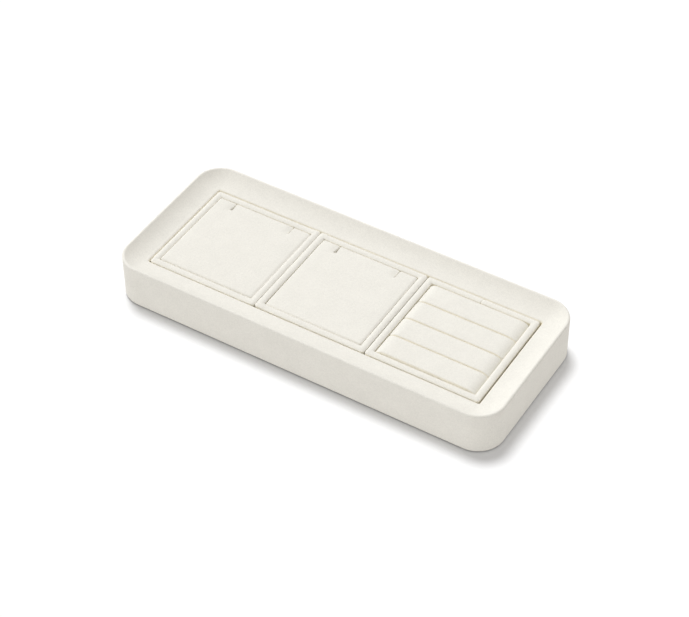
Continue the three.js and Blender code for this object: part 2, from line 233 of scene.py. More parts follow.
class Value:
    """One output of a node tree. Arithmetic on it adds Math nodes."""

    def __init__(self, tree, socket):
        self.tree = tree
        self.socket = socket

    def _math(self, operation, first, second):
        return self.tree.add("ShaderNodeMath", {"operation": operation}, {0: first, 1: second})

    def __add__(self, other):
        return self._math("ADD", self, other)

    def __radd__(self, other):
        return self._math("ADD", other, self)

    def __sub__(self, other):
        return self._math("SUBTRACT", self, other)

    def __rsub__(self, other):
        return self._math("SUBTRACT", other, self)

    def __mul__(self, other):
        return self._math("MULTIPLY", self, other)

    def __rmul__(self, other):
        return self._math("MULTIPLY", other, self)


class Tree:
    """A material's or a modifier's node tree while it is put together."""

    def __init__(self, tree):
        self.tree = tree

    def add(self, kind, settings=None, sockets=None, output=0):
        """Adds a node, with its settings first and then the values or links of its sockets."""
        node = self.tree.nodes.new(kind)
        for name, value in (settings or {}).items():
            if name == "stops":
                self._set_stops(node.color_ramp, value)
            else:
                setattr(node, name, value)
        for name, value in (sockets or {}).items():
            if isinstance(value, Value):
                self.tree.links.new(value.socket, node.inputs[name])
            else:
                node.inputs[name].default_value = value
        return Value(self, node.outputs[output]) if node.outputs else node

    @staticmethod
    def _set_stops(ramp, stops):
        """Sets a ramp's stops, each a position and a grey."""
        while len(ramp.elements) < len(stops):
            ramp.elements.new(1)
        for element, (position, grey) in zip(ramp.elements, stops):
            element.position = position
            element.color = (grey, grey, grey, 1)

    def place(self):
        """The place of a point in its object."""
        return self.add("ShaderNodeTexCoord", output="Object")

    def ray(self, fact):
        """One fact about the ray that meets the surface."""
        return self.add("ShaderNodeLightPath", output=fact)

    def noise(self, place, size, detail=2.0, roughness=0.5):
        """Soft noise, between 0 and 1, whose lumps have about that size in metres."""
        sockets = {"Vector": place, "Scale": 1 / size, "Detail": detail, "Roughness": roughness}
        return self.add("ShaderNodeTexNoise", {}, sockets)

    def mix(self, factor, first, second):
        """A colour between two others."""
        settings = {"data_type": "RGBA", "clamp_factor": True}
        return self.add("ShaderNodeMix", settings, {0: factor, 6: first, 7: second}, output=2)

    def bump(self, height, distance, strength, below=None):
        """A normal from a height in units of distance, on top of another normal."""
        sockets = {"Height": height, "Distance": distance, "Strength": strength}
        if below is not None:
            sockets["Normal"] = below
        return self.add("ShaderNodeBump", {}, sockets)

    def specks(self, place, size, whole, gone):
        """Specks that far apart: 1 up to a first distance from their middles, 0 from a second one on."""
        sockets = {"Vector": place, "Scale": 1 / size, "Randomness": 1.0}
        cells = self.add("ShaderNodeTexVoronoi", {"feature": "F1"}, sockets)
        return self.add("ShaderNodeValToRGB", {"stops": ((whole, 1.0), (gone, 0.0))}, {0: cells})

    def surface(self, shader):
        """Ends a material in a shader."""
        self.add("ShaderNodeOutputMaterial", {}, {"Surface": shader})

    def finish(self, sockets):
        """Ends a material in a shader for all kinds of surfaces."""
        self.surface(self.add("ShaderNodeBsdfPrincipled", {}, sockets))


def new_material(name):
    """An empty material and its tree."""
    material = bpy.data.materials.new(name)
    material.use_nodes = True
    material.node_tree.nodes.clear()
    return material, Tree(material.node_tree)


def shade(colour, factor):
    """A colour made darker or lighter, with an alpha of 1."""
    return (*(min(1.0, part * factor) for part in colour), 1.0)


def suede_material(name, colour):
    """Short-napped suede: brushed patches, a fine mottled nap, and painted shade, a warmer darker tone, on
    walls inside a hollow.
    """
    material, tree = new_material(name)
    place = tree.place()
    patches = tree.noise(place, 9 * MM, 2)
    nap = tree.noise(place, 1.2 * MM, 3, 0.6)
    fibres = tree.noise(place, 0.45 * MM, 2, 0.6)
    lightness = 0.5 + (patches - 0.5) * 0.6 + (nap - 0.5) * 1.2 + (fibres - 0.5) * 2.2
    flat = tree.mix(lightness, shade(colour, 0.94), shade(colour, 1.06))
    # Painted shade: points inside hollows and grooves take the warmer, darker shade colour by the share stored
    # on them
    recess = tree.add("ShaderNodeAttribute", {"attribute_name": "recess"}, output="Fac")
    base = tree.mix(recess, flat, (*bpy.context.scene.tray_finishes.recess, 1.0))
    soft = tree.bump(nap, 0.16 * MM, 0.6)
    normal = tree.bump(fibres, 0.06 * MM, 0.6, soft)
    tree.finish(
        {
            "Base Color": base,
            "Roughness": 0.9 + (nap - 0.5) * 0.12,
            "Specular IOR Level": 0.15,
            "Sheen Weight": 0.12,
            "Sheen Roughness": 0.6,
            "Normal": normal,
        }
    )
    return material


def felt_material(name, colour):
    """Pressed wool felt: tangled hairs over cloudy patches."""
    material, tree = new_material(name)
    place = tree.place()
    clouds = tree.noise(place, 7 * MM, 3)
    hairs = tree.add(
        "ShaderNodeTexNoise",
        {"noise_type": "RIDGED_MULTIFRACTAL", "normalize": True},
        {"Vector": place, "Scale": 1 / (1.1 * MM), "Detail": 3.0, "Distortion": 1.5},
    )
    lightness = 0.5 + (clouds - 0.5) * 0.7 + (hairs - 0.5) * 0.6
    tree.finish(
        {
            "Base Color": tree.mix(lightness, shade(colour, 0.86), shade(colour, 1.08)),
            "Roughness": 0.94 + (hairs - 0.5) * 0.1,
            "Specular IOR Level": 0.1,
            "Sheen Weight": 0.25,
            "Normal": tree.bump(hairs, 0.15 * MM, 0.6),
        }
    )
    return material


def board_material(name, colour):
    """Fibreboard: fine wood flakes pressed together, darker specks among them."""
    material, tree = new_material(name)
    place = tree.place()
    stretched = tree.add("ShaderNodeMapping", {}, {"Vector": place, "Scale": (1.0, 2.2, 1.0)})
    flakes = tree.noise(stretched, 0.9 * MM, 4, 0.65)
    clouds = tree.noise(place, 12 * MM, 2)
    specks = tree.specks(place, 1.6 * MM, 0.08, 0.2)
    lightness = 0.55 + (flakes - 0.5) * 1.1 + (clouds - 0.5) * 0.5 - specks * 0.3
    tree.finish(
        {
            "Base Color": tree.mix(lightness, shade(colour, 0.62), shade(colour, 1.2)),
            "Roughness": 0.82 + (flakes - 0.5) * 0.2,
            "Specular IOR Level": 0.25,
            "Normal": tree.bump(flakes, 0.08 * MM, 0.5),
        }
    )
    return material


def card_material(name, colour):
    """Grey card: pulp clouds, short fibres and a few darker flecks."""
    material, tree = new_material(name)
    place = tree.place()
    clouds = tree.noise(place, 5 * MM, 3)
    laid = tree.add("ShaderNodeMapping", {}, {"Vector": place, "Scale": (1.0, 4.0, 1.0)})
    fibres = tree.noise(laid, 1.4 * MM, 3, 0.7)
    flecks = tree.specks(place, 3.1 * MM, 0.05, 0.12)
    lightness = 0.55 + (clouds - 0.5) * 0.6 + (fibres - 0.5) * 0.7 - flecks * 0.5
    tree.finish(
        {
            "Base Color": tree.mix(lightness, shade(colour, 0.8), shade(colour, 1.1)),
            "Roughness": 0.88 + (fibres - 0.5) * 0.12,
            "Specular IOR Level": 0.2,
            "Normal": tree.bump(fibres, 0.05 * MM, 0.4),
        }
    )
    return material


MATERIALS = {
    "suede": ("ivory_suede", suede_material),
    "felt": ("wool_felt", felt_material),
    "board": ("fibreboard", board_material),
    "card": ("grey_card", card_material),
}


def finish_of(kind):
    """The material of one finish, made on its first use."""
    name, make = MATERIALS[kind]
    return bpy.data.materials.get(name) or make(name, getattr(bpy.context.scene.tray_finishes, kind))


# Outlines and meshes


def arc(centre, radius, start, end, steps):
    """Points along an arc between two angles in degrees."""
    turn = np.radians(np.linspace(start, end, steps + 1))
    return np.stack([centre[0] + radius * np.cos(turn), centre[1] + radius * np.sin(turn)], 1)


def run(start, end, steps):
    """Points along a straight run."""
    share = np.linspace(0, 1, steps + 1)[:, None]
    return np.asarray(start, float) * (1 - share) + np.asarray(end, float) * share


def path(*runs):
    """Runs put one after another, with each point only once."""
    points = np.concatenate([np.atleast_2d(np.asarray(part, float)) for part in runs])
    apart = np.linalg.norm(np.diff(points, axis=0), axis=1) > SAME_POINT
    return points[np.concatenate([[True], apart])]


def rounded_loop(half_x, half_y, radius, corner_steps, shares):
    """A rounded rectangle, anticlockwise, with points at the given shares of each side."""
    x, y = half_x - radius, half_y - radius
    parts = []
    for turn, along in ((-90, (0, 1)), (0, (-1, 0)), (90, (0, -1)), (180, (1, 0))):
        centre = {-90: (x, -y), 0: (x, y), 90: (-x, y), 180: (-x, -y)}[turn]
        corner = arc(centre, radius, turn, turn + 90, corner_steps)
        side = 2 * (y if along[1] else x)
        parts.append(corner[:-1])
        parts.append(corner[-1] + side * np.outer(shares[:-1], along))
    return np.concatenate(parts)


def finer_in_middle(shares):
    """Shares of a side with many more of them round its middle."""
    zone, clear, count = 0.024, 0.026, 25
    fine = 0.5 + np.linspace(-zone, zone, count)
    return np.sort(np.concatenate([shares[np.abs(shares - 0.5) > clear], fine]))


def at_height(loop, height):
    """A flat loop lifted to a height, which may differ from point to point."""
    return np.column_stack([loop, np.broadcast_to(height, len(loop))])


class Surface:
    """Points and faces of one piece while it is put together."""

    def __init__(self):
        self.points = []
        self.faces = []

    def add_points(self, points):
        """Adds points and gives their numbers."""
        first = len(self.points)
        self.points.extend(map(tuple, points))
        return np.arange(first, len(self.points))

    def bridge(self, first, second):
        """Joins two rings of the same number of points."""
        for here, there, below, above in zip(first, second, np.roll(first, -1), np.roll(second, -1)):
            self.faces.append((here, below, above, there))

    def rings(self, loops, closed=False):
        """Joins loops one after another, and the last to the first where the section is closed."""
        numbers = [self.add_points(loop) for loop in loops]
        for first, second in zip(numbers, numbers[1:]):
            self.bridge(first, second)
        if closed:
            self.bridge(numbers[-1], numbers[0])
        return numbers

    def fill(self, ring, step, height_at=None):
        """Fills a flat ring with an even field of points. The field's height may follow a rule."""
        edge = np.array([self.points[number] for number in ring])
        field = inner_field(edge[:, :2], step)
        height = edge[:, 2].mean() if height_at is None else height_at(field)
        inside = self.add_points(at_height(field, height)) if len(field) else np.array([], int)
        numbers = np.concatenate([ring, inside])
        flat = [Vector(self.points[number][:2]) for number in numbers]
        made = delaunay_2d_cdt(flat, [], [list(range(len(ring)))], 1, SAME_POINT)
        origin = [source[0] for source in made[3]]
        for corners in made[2]:
            self.faces.append(tuple(numbers[origin[corner]] for corner in corners))

    def object(self, name, material):
        """Turns the points and faces into an object whose faces point outwards."""
        mesh = bpy.data.meshes.new(name)
        points = np.array(self.points, float).tolist()
        mesh.from_pydata(points, [], [tuple(int(corner) for corner in face) for face in self.faces])
        return finished_object(name, mesh, material)


def inner_field(edge, step):
    """Points of an even grid that lie inside an outline and not close to it."""
    clear, tiny = 0.55 * step, 1e-15
    low, high = edge.min(0), edge.max(0)
    counts = np.maximum(((high - low) / step).round().astype(int), 1)
    axes = [np.linspace(low[axis], high[axis], counts[axis] + 1)[1:-1] for axis in (0, 1)]
    field = np.stack(np.meshgrid(*axes, indexing="ij"), -1).reshape(-1, 2)
    start, end = edge, np.roll(edge, -1, 0)
    along = end - start
    offset = field[:, None] - start[None]
    share = np.clip((offset * along).sum(-1) / np.maximum((along * along).sum(-1), tiny), 0, 1)
    away = np.linalg.norm(offset - share[..., None] * along, axis=-1).min(1)
    rises = (start[:, 1] > field[:, None, 1]) != (end[:, 1] > field[:, None, 1])
    slope = along[:, 0] / np.where(np.abs(along[:, 1]) < tiny, tiny, along[:, 1])
    crossing = start[:, 0] + (field[:, None, 1] - start[:, 1]) * slope
    inside = (rises & (field[:, None, 0] < crossing)).sum(1) % 2 == 1
    return field[inside & (away > clear)]


def finished_object(name, mesh, material):
    """Welds a mesh, turns its faces outwards, smooths it and puts it in the scene."""
    shell = bmesh.new()
    shell.from_mesh(mesh)
    bmesh.ops.remove_doubles(shell, verts=shell.verts, dist=WELD_DISTANCE)
    bmesh.ops.recalc_face_normals(shell, faces=shell.faces)
    if shell.calc_volume(signed=True) < 0:
        bmesh.ops.reverse_faces(shell, faces=shell.faces)
    shell.to_mesh(mesh)
    shell.free()
    mesh.shade_smooth()
    mesh.set_sharp_from_angle(angle=SHARP_ANGLE)
    mesh.materials.clear()
    mesh.materials.append(material)
    made = bpy.data.objects.new(name, mesh)
    bpy.context.scene.collection.objects.link(made)
    return made


def points_of(mesh):
    """The places and the normals of a mesh's points."""
    places = np.empty(len(mesh.vertices) * 3, np.float32)
    normals = np.empty(len(mesh.vertices) * 3, np.float32)
    mesh.vertices.foreach_get("co", places)
    mesh.vertex_normals.foreach_get("vector", normals)
    return places.reshape(-1, 3).astype(float), normals.reshape(-1, 3).astype(float)


def shift_points(piece, rule):
    """Moves each point by what a rule gives for its place and its normal."""
    places, normals = points_of(piece.data)
    moved = places + rule(places, normals)
    piece.data.vertices.foreach_set("co", moved.astype(np.float32).ravel())
    piece.data.update()


def hollow_shade_share(piece, top):
    """The share of painted shade at each point: how deep below a height the points lie that look in towards
    the piece's middle.
    """
    least = 0.5
    places, normals = points_of(piece.data)
    middle = (places.min(0) + places.max(0)) / 2
    inwards = (np.sign(middle - places) * normals)[:, :2].sum(1) > least
    return np.clip((top - places[:, 2]) / HOLLOW_SHADE_DEPTH, 0, 1) * inwards


def mark_hollow_shade(piece, shares):
    """Stores how much of the painted shade, the hollows' warmer darker tone, each point takes."""
    layer = piece.data.attributes.new("recess", "FLOAT", "POINT")
    layer.data.foreach_set("value", shares.astype(np.float32))


def waves(places, size, seed):
    """Smooth noise between about -1 and 1 at each place."""
    offset = Vector([seed * part for part in SEED_SHIFT])
    return np.array([noise.noise(Vector(place) / size + offset) for place in places])


# Geometry Nodes


UNEVEN_INPUTS = (
    ("Unevenness", "Float"),
    ("Unevenness Size", "Float"),
    ("Seed", "Float"),
    ("Material", "Material"),
)


def uneven_values(sizes, material):
    """The values of the inputs that every tree has."""
    return {
        "Unevenness": sizes.unevenness,
        "Unevenness Size": sizes.unevenness_size,
        "Seed": float(sizes.seed),
        "Material": material,
    }


def new_tree(name, *own_inputs):
    """An empty modifier tree with one geometry output, its own inputs and those that every tree has."""
    inputs = (*own_inputs, *UNEVEN_INPUTS)
    group = bpy.data.node_groups.new(name, "GeometryNodeTree")
    group.interface.new_socket(name="Geometry", in_out="OUTPUT", socket_type="NodeSocketGeometry")
    for label, kind in inputs:
        group.interface.new_socket(name=label, in_out="INPUT", socket_type=f"NodeSocket{kind}")
    source = group.nodes.new("NodeGroupInput")
    tree = Tree(group)
    return group, tree, {label: Value(tree, source.outputs[label]) for label, kind in inputs}


def uneven(tree, geometry, given):
    """Moves a surface along its normals by soft noise."""
    place = tree.add("GeometryNodeInputPosition")
    size = tree.add("ShaderNodeMath", {"operation": "DIVIDE"}, {0: 1.0, 1: given["Unevenness Size"]})
    lumps = tree.add(
        "ShaderNodeTexNoise",
        {"noise_dimensions": "4D"},
        {"Vector": place, "W": given["Seed"], "Scale": size, "Detail": 2.0},
    )
    normal = tree.add("GeometryNodeInputNormal")
    reach = (lumps - 0.5) * 2.0 * given["Unevenness"]
    offset = tree.add("ShaderNodeVectorMath", {"operation": "SCALE"}, {0: normal, "Scale": reach})
    return tree.add("GeometryNodeSetPosition", {}, {"Geometry": geometry, "Offset": offset})


def end_tree(tree, geometry, given):
    """Realizes instances, smooths the surface and gives it its material."""
    real = tree.add("GeometryNodeRealizeInstances", {}, {"Geometry": geometry})
    smooth = tree.add("GeometryNodeSetShadeSmooth", {}, {"Geometry": real})
    dressed = tree.add("GeometryNodeSetMaterial", {}, {"Geometry": smooth, "Material": given["Material"]})
    tree.add("NodeGroupOutput", {}, {"Geometry": dressed})


def rim_tree():
    """Carries a section round a rounded rectangle."""
    group, tree, given = new_tree(
        "Swept rim",
        ("Section", "Geometry"),
        ("Length", "Float"),
        ("Width", "Float"),
        ("Corner Radius", "Float"),
        ("Step", "Float"),
    )
    sides = {"Width": given["Length"], "Height": given["Width"]}
    outline = tree.add("GeometryNodeCurvePrimitiveQuadrilateral", {}, sides)
    corner_points = 32
    corners = {"Curve": outline, "Radius": given["Corner Radius"], "Count": corner_points}
    rounded = tree.add("GeometryNodeFilletCurve", {"mode": "POLY"}, corners)
    points = {"Curve": rounded, "Length": given["Step"]}
    even = tree.add("GeometryNodeResampleCurve", {"mode": "LENGTH"}, points)
    upright = tree.add("GeometryNodeSetCurveNormal", {"mode": "Z_UP"}, {"Curve": even})
    section = tree.add("GeometryNodeMeshToCurve", {}, {"Mesh": given["Section"]})
    swept = tree.add("GeometryNodeCurveToMesh", {}, {"Curve": upright, "Profile Curve": section})
    end_tree(tree, uneven(tree, swept, given), given)
    return group


def roll_tree():
    """Lays rolls side by side and lets their padding differ."""
    group, tree, given = new_tree(
        "Row of rolls", ("Roll", "Geometry"), ("Count", "Int"), ("Pitch", "Float"), ("First", "Vector")
    )
    across = tree.add("ShaderNodeCombineXYZ", {}, {"Y": given["Pitch"]})
    line = {"Count": given["Count"], "Start Location": given["First"], "Offset": across}
    places = tree.add("GeometryNodeMeshLine", {"mode": "OFFSET"}, line)
    row = tree.add("GeometryNodeInstanceOnPoints", {}, {"Points": places, "Instance": given["Roll"]})
    real = tree.add("GeometryNodeRealizeInstances", {}, {"Geometry": row})
    end_tree(tree, uneven(tree, real, given), given)
    return group


def grown(name, base, group, values, material):
    """Runs a tree on a base mesh and keeps the result as a plain mesh."""
    carrier = bpy.data.objects.new(name + "_base", base)
    bpy.context.scene.collection.objects.link(carrier)
    modifier = carrier.modifiers.new("Shape", "NODES")
    modifier.node_group = group
    for item in group.interface.items_tree:
        if item.in_out == "INPUT" and item.name in values:
            modifier[item.identifier] = values[item.name]
    made = carrier.evaluated_get(bpy.context.evaluated_depsgraph_get())
    mesh = bpy.data.meshes.new_from_object(made)
    bpy.data.objects.remove(carrier)
    mesh.name = name
    return finished_object(name, mesh, material)


# Sections of the pieces


def rim_section(tray, height, hem_bottom, inset, steps):
    """The rim from the well's edge over the cove and the lip to the foot, as (offset, height) points."""
    least = tray.cove_least
    span = tray.rim_width - tray.lip - tray.well_edge + (tray.well_edge - tray.lip) * math.sin(least)
    rise = tray.rim_drop - tray.lip * (1 - math.cos(least))
    most = 2 * math.atan(rise / span) - least
    cove = span / (math.sin(most) - math.sin(least)) - tray.lip
    edge_z = height - tray.rim_drop - tray.well_edge * math.cos(least)
    cove_x = tray.well_edge - (cove + tray.well_edge) * math.sin(least)
    cove_z = edge_z + (cove + tray.well_edge) * math.cos(least)
    start, turn = math.degrees(least), math.degrees(most)
    lip_x, foot_x, wall_x = tray.rim_width - tray.lip, tray.rim_width - tray.foot, tray.rim_width - inset
    return path(
        arc((tray.well_edge, edge_z), tray.well_edge - inset, 180, 90 + start, steps),
        arc((cove_x, cove_z), cove + inset, start - 90, turn - 90, 3 * steps),
        arc((lip_x, height - tray.lip), tray.lip - inset, 90 + turn, 0, 2 * steps),
        run((wall_x, height - tray.lip), (wall_x, hem_bottom + tray.foot), 2 * steps),
        arc((foot_x, hem_bottom + tray.foot), tray.foot - inset, 0, -90, steps),
    )


def closed_rim_section(tray, low, height, floor):
    """The whole suede of the rim: its outside, its hem and its inside."""
    hem_edge = tray.rim_width - tray.hem
    wall_steps, hem_steps = 8, 6
    outside = rim_section(tray, height, low, inset=0, steps=10)
    inside = rim_section(tray, height, low, inset=tray.suede, steps=5)
    return path(
        run((0, floor), outside[0], wall_steps),
        outside,
        run(outside[-1], (hem_edge, low), hem_steps),
        run((hem_edge, low + tray.suede), inside[-1], hem_steps),
        inside[::-1],
        run(inside[0], (tray.suede, floor), wall_steps),
    )


def bead_top(insert, height, inset, steps):
    """The bead's top, set in from its outside by a distance: a shallow crown between two round edges."""
    middle = insert.bead / 2
    half = middle - inset
    crown = insert.bead_crown - inset
    least = 0.1 * MM
    edge = max(insert.bead_edge - inset, least)
    lean = math.asin((half - edge) / (crown - edge))
    crown_z = height - insert.bead_crown
    edge_z = crown_z + (crown - edge) * math.cos(lean)
    tilt = math.degrees(lean)
    return path(
        arc((inset + edge, edge_z), edge, 180, 90 + tilt, 2 * steps),
        arc((middle, crown_z), crown, 90 + tilt, 90 - tilt, 3 * steps),
        arc((insert.bead - inset - edge, edge_z), edge, 90 - tilt, 0, 2 * steps),
    )


def frame_section(insert, suede, height, inner_foot, fold, has_ledge):
    """The suede of a bead frame: hem, foot, outer wall, bead, inner wall and ledge, then back inside."""

    def skin(inset, foot, steps):
        """One side of the suede, from the hem to the inner wall's foot."""
        bead = bead_top(insert, height, inset, steps)
        return path(
            run((insert.hem, inset), (insert.foot, inset), steps),
            arc((insert.foot, insert.foot), insert.foot - inset, 270, 180, steps),
            run((inset, insert.foot), bead[0], steps),
            bead,
            run(bead[-1], (insert.bead - inset, foot), steps),
        )

    ledge_steps = 3
    outside = skin(0, inner_foot, steps=5)
    inside = skin(suede, fold, steps=3)
    if not has_ledge:
        return path(outside, inside[::-1])
    upper = run(outside[-1], (insert.ledge, inner_foot), ledge_steps)
    lower = run((insert.ledge, fold), inside[-1], ledge_steps)
    return path(outside, upper, lower, inside[::-1])


def pad_outline(pad, half, inset):
    """A pad's outline, set in by a distance, with its two slits. It always has the same number of points."""
    least = 0.12 * MM
    side_steps, between_steps, end_steps = 56, 36, 9
    corner_steps, mouth_steps, wall_steps, tip_steps = 6, 5, 10, 12
    corner = max(pad.corner - inset, least)
    lip = min(inset / pad.edge, 1) * pad.slit_lip
    mouth = max(pad.slit_mouth - lip, least)
    narrow = pad.slit_width / 2 + lip
    edge = half - inset
    inner = edge - corner
    parts = [
        run((-inner, -edge), (inner, -edge), side_steps)[:-1],
        arc((inner, -inner), corner, -90, 0, corner_steps)[:-1],
        run((edge, -inner), (edge, inner), side_steps)[:-1],
        arc((inner, inner), corner, 0, 90, corner_steps)[:-1],
    ]
    reached = inner
    slits = ((pad.slit_spacing / 2, end_steps, 0), (-pad.slit_spacing / 2, between_steps, pad.slit_wedge))
    for slit_x, steps, wedge in slits:
        right, left = slit_x + narrow, slit_x - narrow
        wide = narrow + wedge / 2
        slit_end = half - pad.slit_length + wide
        parts += [
            run((reached, edge), (right + mouth, edge), steps)[:-1],
            arc((right + mouth, edge - mouth), mouth, 90, 180, mouth_steps)[:-1],
            run((right, edge - mouth), (slit_x + wide, slit_end), wall_steps)[:-1],
            arc((slit_x, slit_end), wide, 0, -180, tip_steps)[:-1],
            run((slit_x - wide, slit_end), (left, edge - mouth), wall_steps)[:-1],
            arc((left - mouth, edge - mouth), mouth, 0, 90, mouth_steps)[:-1],
        ]
        reached = left - mouth
    parts += [
        run((reached, edge), (-inner, edge), end_steps)[:-1],
        arc((-inner, inner), corner, 90, 180, corner_steps)[:-1],
        run((-edge, inner), (-edge, -inner), side_steps)[:-1],
        arc((-inner, -inner), corner, 180, 270, corner_steps)[:-1],
    ]
    return np.concatenate(parts)


def eased(share):
    """A share from 0 to 1 that starts and ends softly."""
    share = np.clip(share, 0, 1)
    return share * share * (3 - 2 * share)


def edge_fall(radius, reach, inset):
    """How far an edge rounded over a reach has fallen at distances from the wall."""
    out = np.clip(reach - inset, 0, reach)
    return radius - np.sqrt(radius * radius - out * out)


def slit_dips(pad, half, places):
    """How far the left lip of each slit has sunk at each place, measured from the pad's middle."""
    start, start_span, end, end_span = -0.15, 0.6, 1.4, 0.7
    along = (half - places[:, 1]) / pad.slit_length
    deepens = eased((along - start) / start_span)
    fades = eased((end - along) / end_span)
    dips = 0
    for slit_x in (pad.slit_spacing / 2, -pad.slit_spacing / 2):
        leftwards = (slit_x - places[:, 0]) / pad.slit_dip_width
        dips = dips + pad.slit_dip * np.exp(-(leftwards**2)) * (leftwards > 0)
    return dips * deepens * fades


def puffed_sheet(steps):
    """The heights of a square sheet, held along its edges and blown up, as a grid of shares from 0 to 1.

    The sheet is ten times the size of a pad, because large cloth moves more steadily.
    """
    half_side, pressure, last_frame = 0.3, 4, 20
    side = np.linspace(-half_side, half_side, steps + 1)
    points = [(x, y, 0) for x in side for y in side]
    corners = [row * (steps + 1) + column for row in range(steps) for column in range(steps)]
    faces = [(corner, corner + steps + 1, corner + steps + 2, corner + 1) for corner in corners]
    mesh = bpy.data.meshes.new("puffed_sheet")
    mesh.from_pydata(points, [], faces)
    sheet = bpy.data.objects.new("puffed_sheet", mesh)
    scene = bpy.context.scene
    scene.collection.objects.link(sheet)
    edge = [number for number, (x, y, _) in enumerate(points) if max(abs(x), abs(y)) > half_side - 0.1 * MM]
    sheet.vertex_groups.new(name="held").add(edge, 1, "REPLACE")
    cloth = sheet.modifiers.new("cloth", "CLOTH")
    cloth.settings.vertex_group_mass = "held"
    cloth.settings.use_pressure = True
    cloth.settings.uniform_pressure_force = pressure
    cloth.settings.effector_weights.gravity = 0
    cloth.collision_settings.use_collision = False
    cloth.point_cache.frame_start, cloth.point_cache.frame_end = 1, last_frame
    for number in range(1, last_frame + 1):
        scene.frame_set(number)
    blown = sheet.evaluated_get(bpy.context.evaluated_depsgraph_get()).to_mesh()
    heights = np.array([vertex.co.z for vertex in blown.vertices]).reshape(steps + 1, steps + 1)
    bpy.data.objects.remove(sheet)
    bpy.data.meshes.remove(mesh)
    scene.frame_set(1)
    if heights.max() <= 0:
        raise RuntimeError("the blown-up sheet did not rise")
    return heights / heights.max()


def sampled(grid, across, along):
    """The values of a square grid at places given from -1 to 1 on both axes."""
    steps = len(grid) - 1
    last = steps - 1e-6
    column, row = (np.clip((place + 1) / 2 * steps, 0, last) for place in (across, along))
    left, front = column.astype(int), row.astype(int)
    right_share, back_share = column - left, row - front
    near = grid[left, front] * (1 - right_share) + grid[left + 1, front] * right_share
    far = grid[left, front + 1] * (1 - right_share) + grid[left + 1, front + 1] * right_share
    return near * (1 - back_share) + far * back_share


def roll_section(roll, half_width, bottom, top, end_fall):
    """A roll's section, anticlockwise, as (across, height) points: flat foot, upright sides, soft crown."""
    pinch_sharpness, blend = 24, 1.5
    crown_points, side_steps, foot_steps = 61, 6, 8
    across = np.cos(np.linspace(0, np.pi, crown_points))
    outwards = np.abs(across)
    side_fall = roll.shoulder * outwards**roll.roundness + roll.pinch * outwards**pinch_sharpness
    fall = (side_fall**blend + end_fall**blend) ** (1 / blend)
    crown = np.stack([half_width * across, top - fall], 1)
    return path(
        run((half_width, bottom), crown[0], side_steps),
        crown,
        run(crown[-1], (-half_width, bottom), side_steps),
        run((-half_width, bottom), (half_width, bottom), foot_steps)[:-1],
    )


# Operators, one for each piece or group of like pieces


def place_piece(piece, body, slot, *nodes):
    """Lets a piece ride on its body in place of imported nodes."""
    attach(piece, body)
    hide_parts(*nodes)


class TRAY_OT_wrap_rim(bpy.types.Operator):
    """Wraps the dished rim in suede"""

    bl_idname = "display_tray.wrap_rim"
    bl_label = "Wrap Rim"

    def execute(self, context):
        tray = context.scene.tray_sizes
        low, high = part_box("tray_cover")
        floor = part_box("floor_lining")[0].z
        section = closed_rim_section(tray, low.z, high.z, floor)
        count = len(section)
        base = bpy.data.meshes.new("rim_section")
        points = [(offset - tray.rim_width, -height, 0) for offset, height in section]
        base.from_pydata(points, [(number, (number + 1) % count) for number in range(count)], [])
        material = finish_of("suede")
        sides = (high.x - low.x, high.y - low.y)
        values = {
            "Length": sides[0],
            "Width": sides[1],
            "Corner Radius": tray.rim_width + tray.well_corner,
            "Step": tray.sweep_step,
            **uneven_values(tray, material),
        }
        rim = grown("rim_cover", base, rim_tree(), values, material)
        # Painted shade on the well's walls below the rim
        mark_hollow_shade(rim, hollow_shade_share(rim, high.z - tray.rim_drop))
        place_piece(rim, "tray", "suede", "tray_cover")
        wall = high.z - low.z + tray.hem
        depth = high.z - tray.rim_drop - floor
        cut = (sides[0] + 2 * wall, sides[1] + 2 * wall)
        opening = [side - 2 * (tray.rim_width + depth) for side in sides]
        area = cut[0] * cut[1] - opening[0] * opening[1]
        return {"FINISHED"}


class TRAY_OT_line_tray(bpy.types.Operator):
    """Lays the suede lining in the well and the felt under the tray"""

    bl_idname = "display_tray.line_tray"
    bl_label = "Line Tray"

    def lay(self, name, node, slot, corner, rests_on):
        """Lays one thin sheet with rolled edges."""
        most_edge, edge_share = 0.3 * MM, 0.45
        sink, wave_size, seed = 0.04 * MM, 14 * MM, 3
        side_points, corner_steps, edge_steps = 41, 5, 4
        low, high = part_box(node)
        half_x, half_y = (high.x - low.x) / 2, (high.y - low.y) / 2
        edge = min(most_edge, edge_share * (high.z - low.z))
        shares = np.linspace(0, 1, side_points)
        rolled = path(
            arc((edge, high.z - edge), edge, 90, 180, edge_steps),
            arc((edge, low.z + edge), edge, 180, 270, edge_steps),
        )
        loops = []
        for inset, height in rolled:
            loop = rounded_loop(half_x - inset, half_y - inset, corner, corner_steps, shares)
            loops.append(at_height(loop, height))
        sheet = Surface()
        numbers = sheet.rings(loops)
        sheet.fill(numbers[0], FLAT_STEP)
        sheet.fill(numbers[-1], FLAT_STEP)
        piece = sheet.object(name, finish_of(slot))

        def rule(places, normals):
            """Lets the sheet lie a little uneven."""
            sunk = sink * (waves(places, wave_size, seed) - 1) / 2
            return normals * sunk[:, None]

        shift_points(piece, rule)
        place_piece(piece, "tray", slot, node)

    def execute(self, context):
        tray = context.scene.tray_sizes
        self.lay("well_lining", "floor_lining", "suede", tray.well_corner, ["base_board"])
        felt_corner = tray.well_corner + tray.rim_width - tray.hem
        self.lay("base_panel", "base_felt", "felt", felt_corner, ["base_board"])
        return {"FINISHED"}


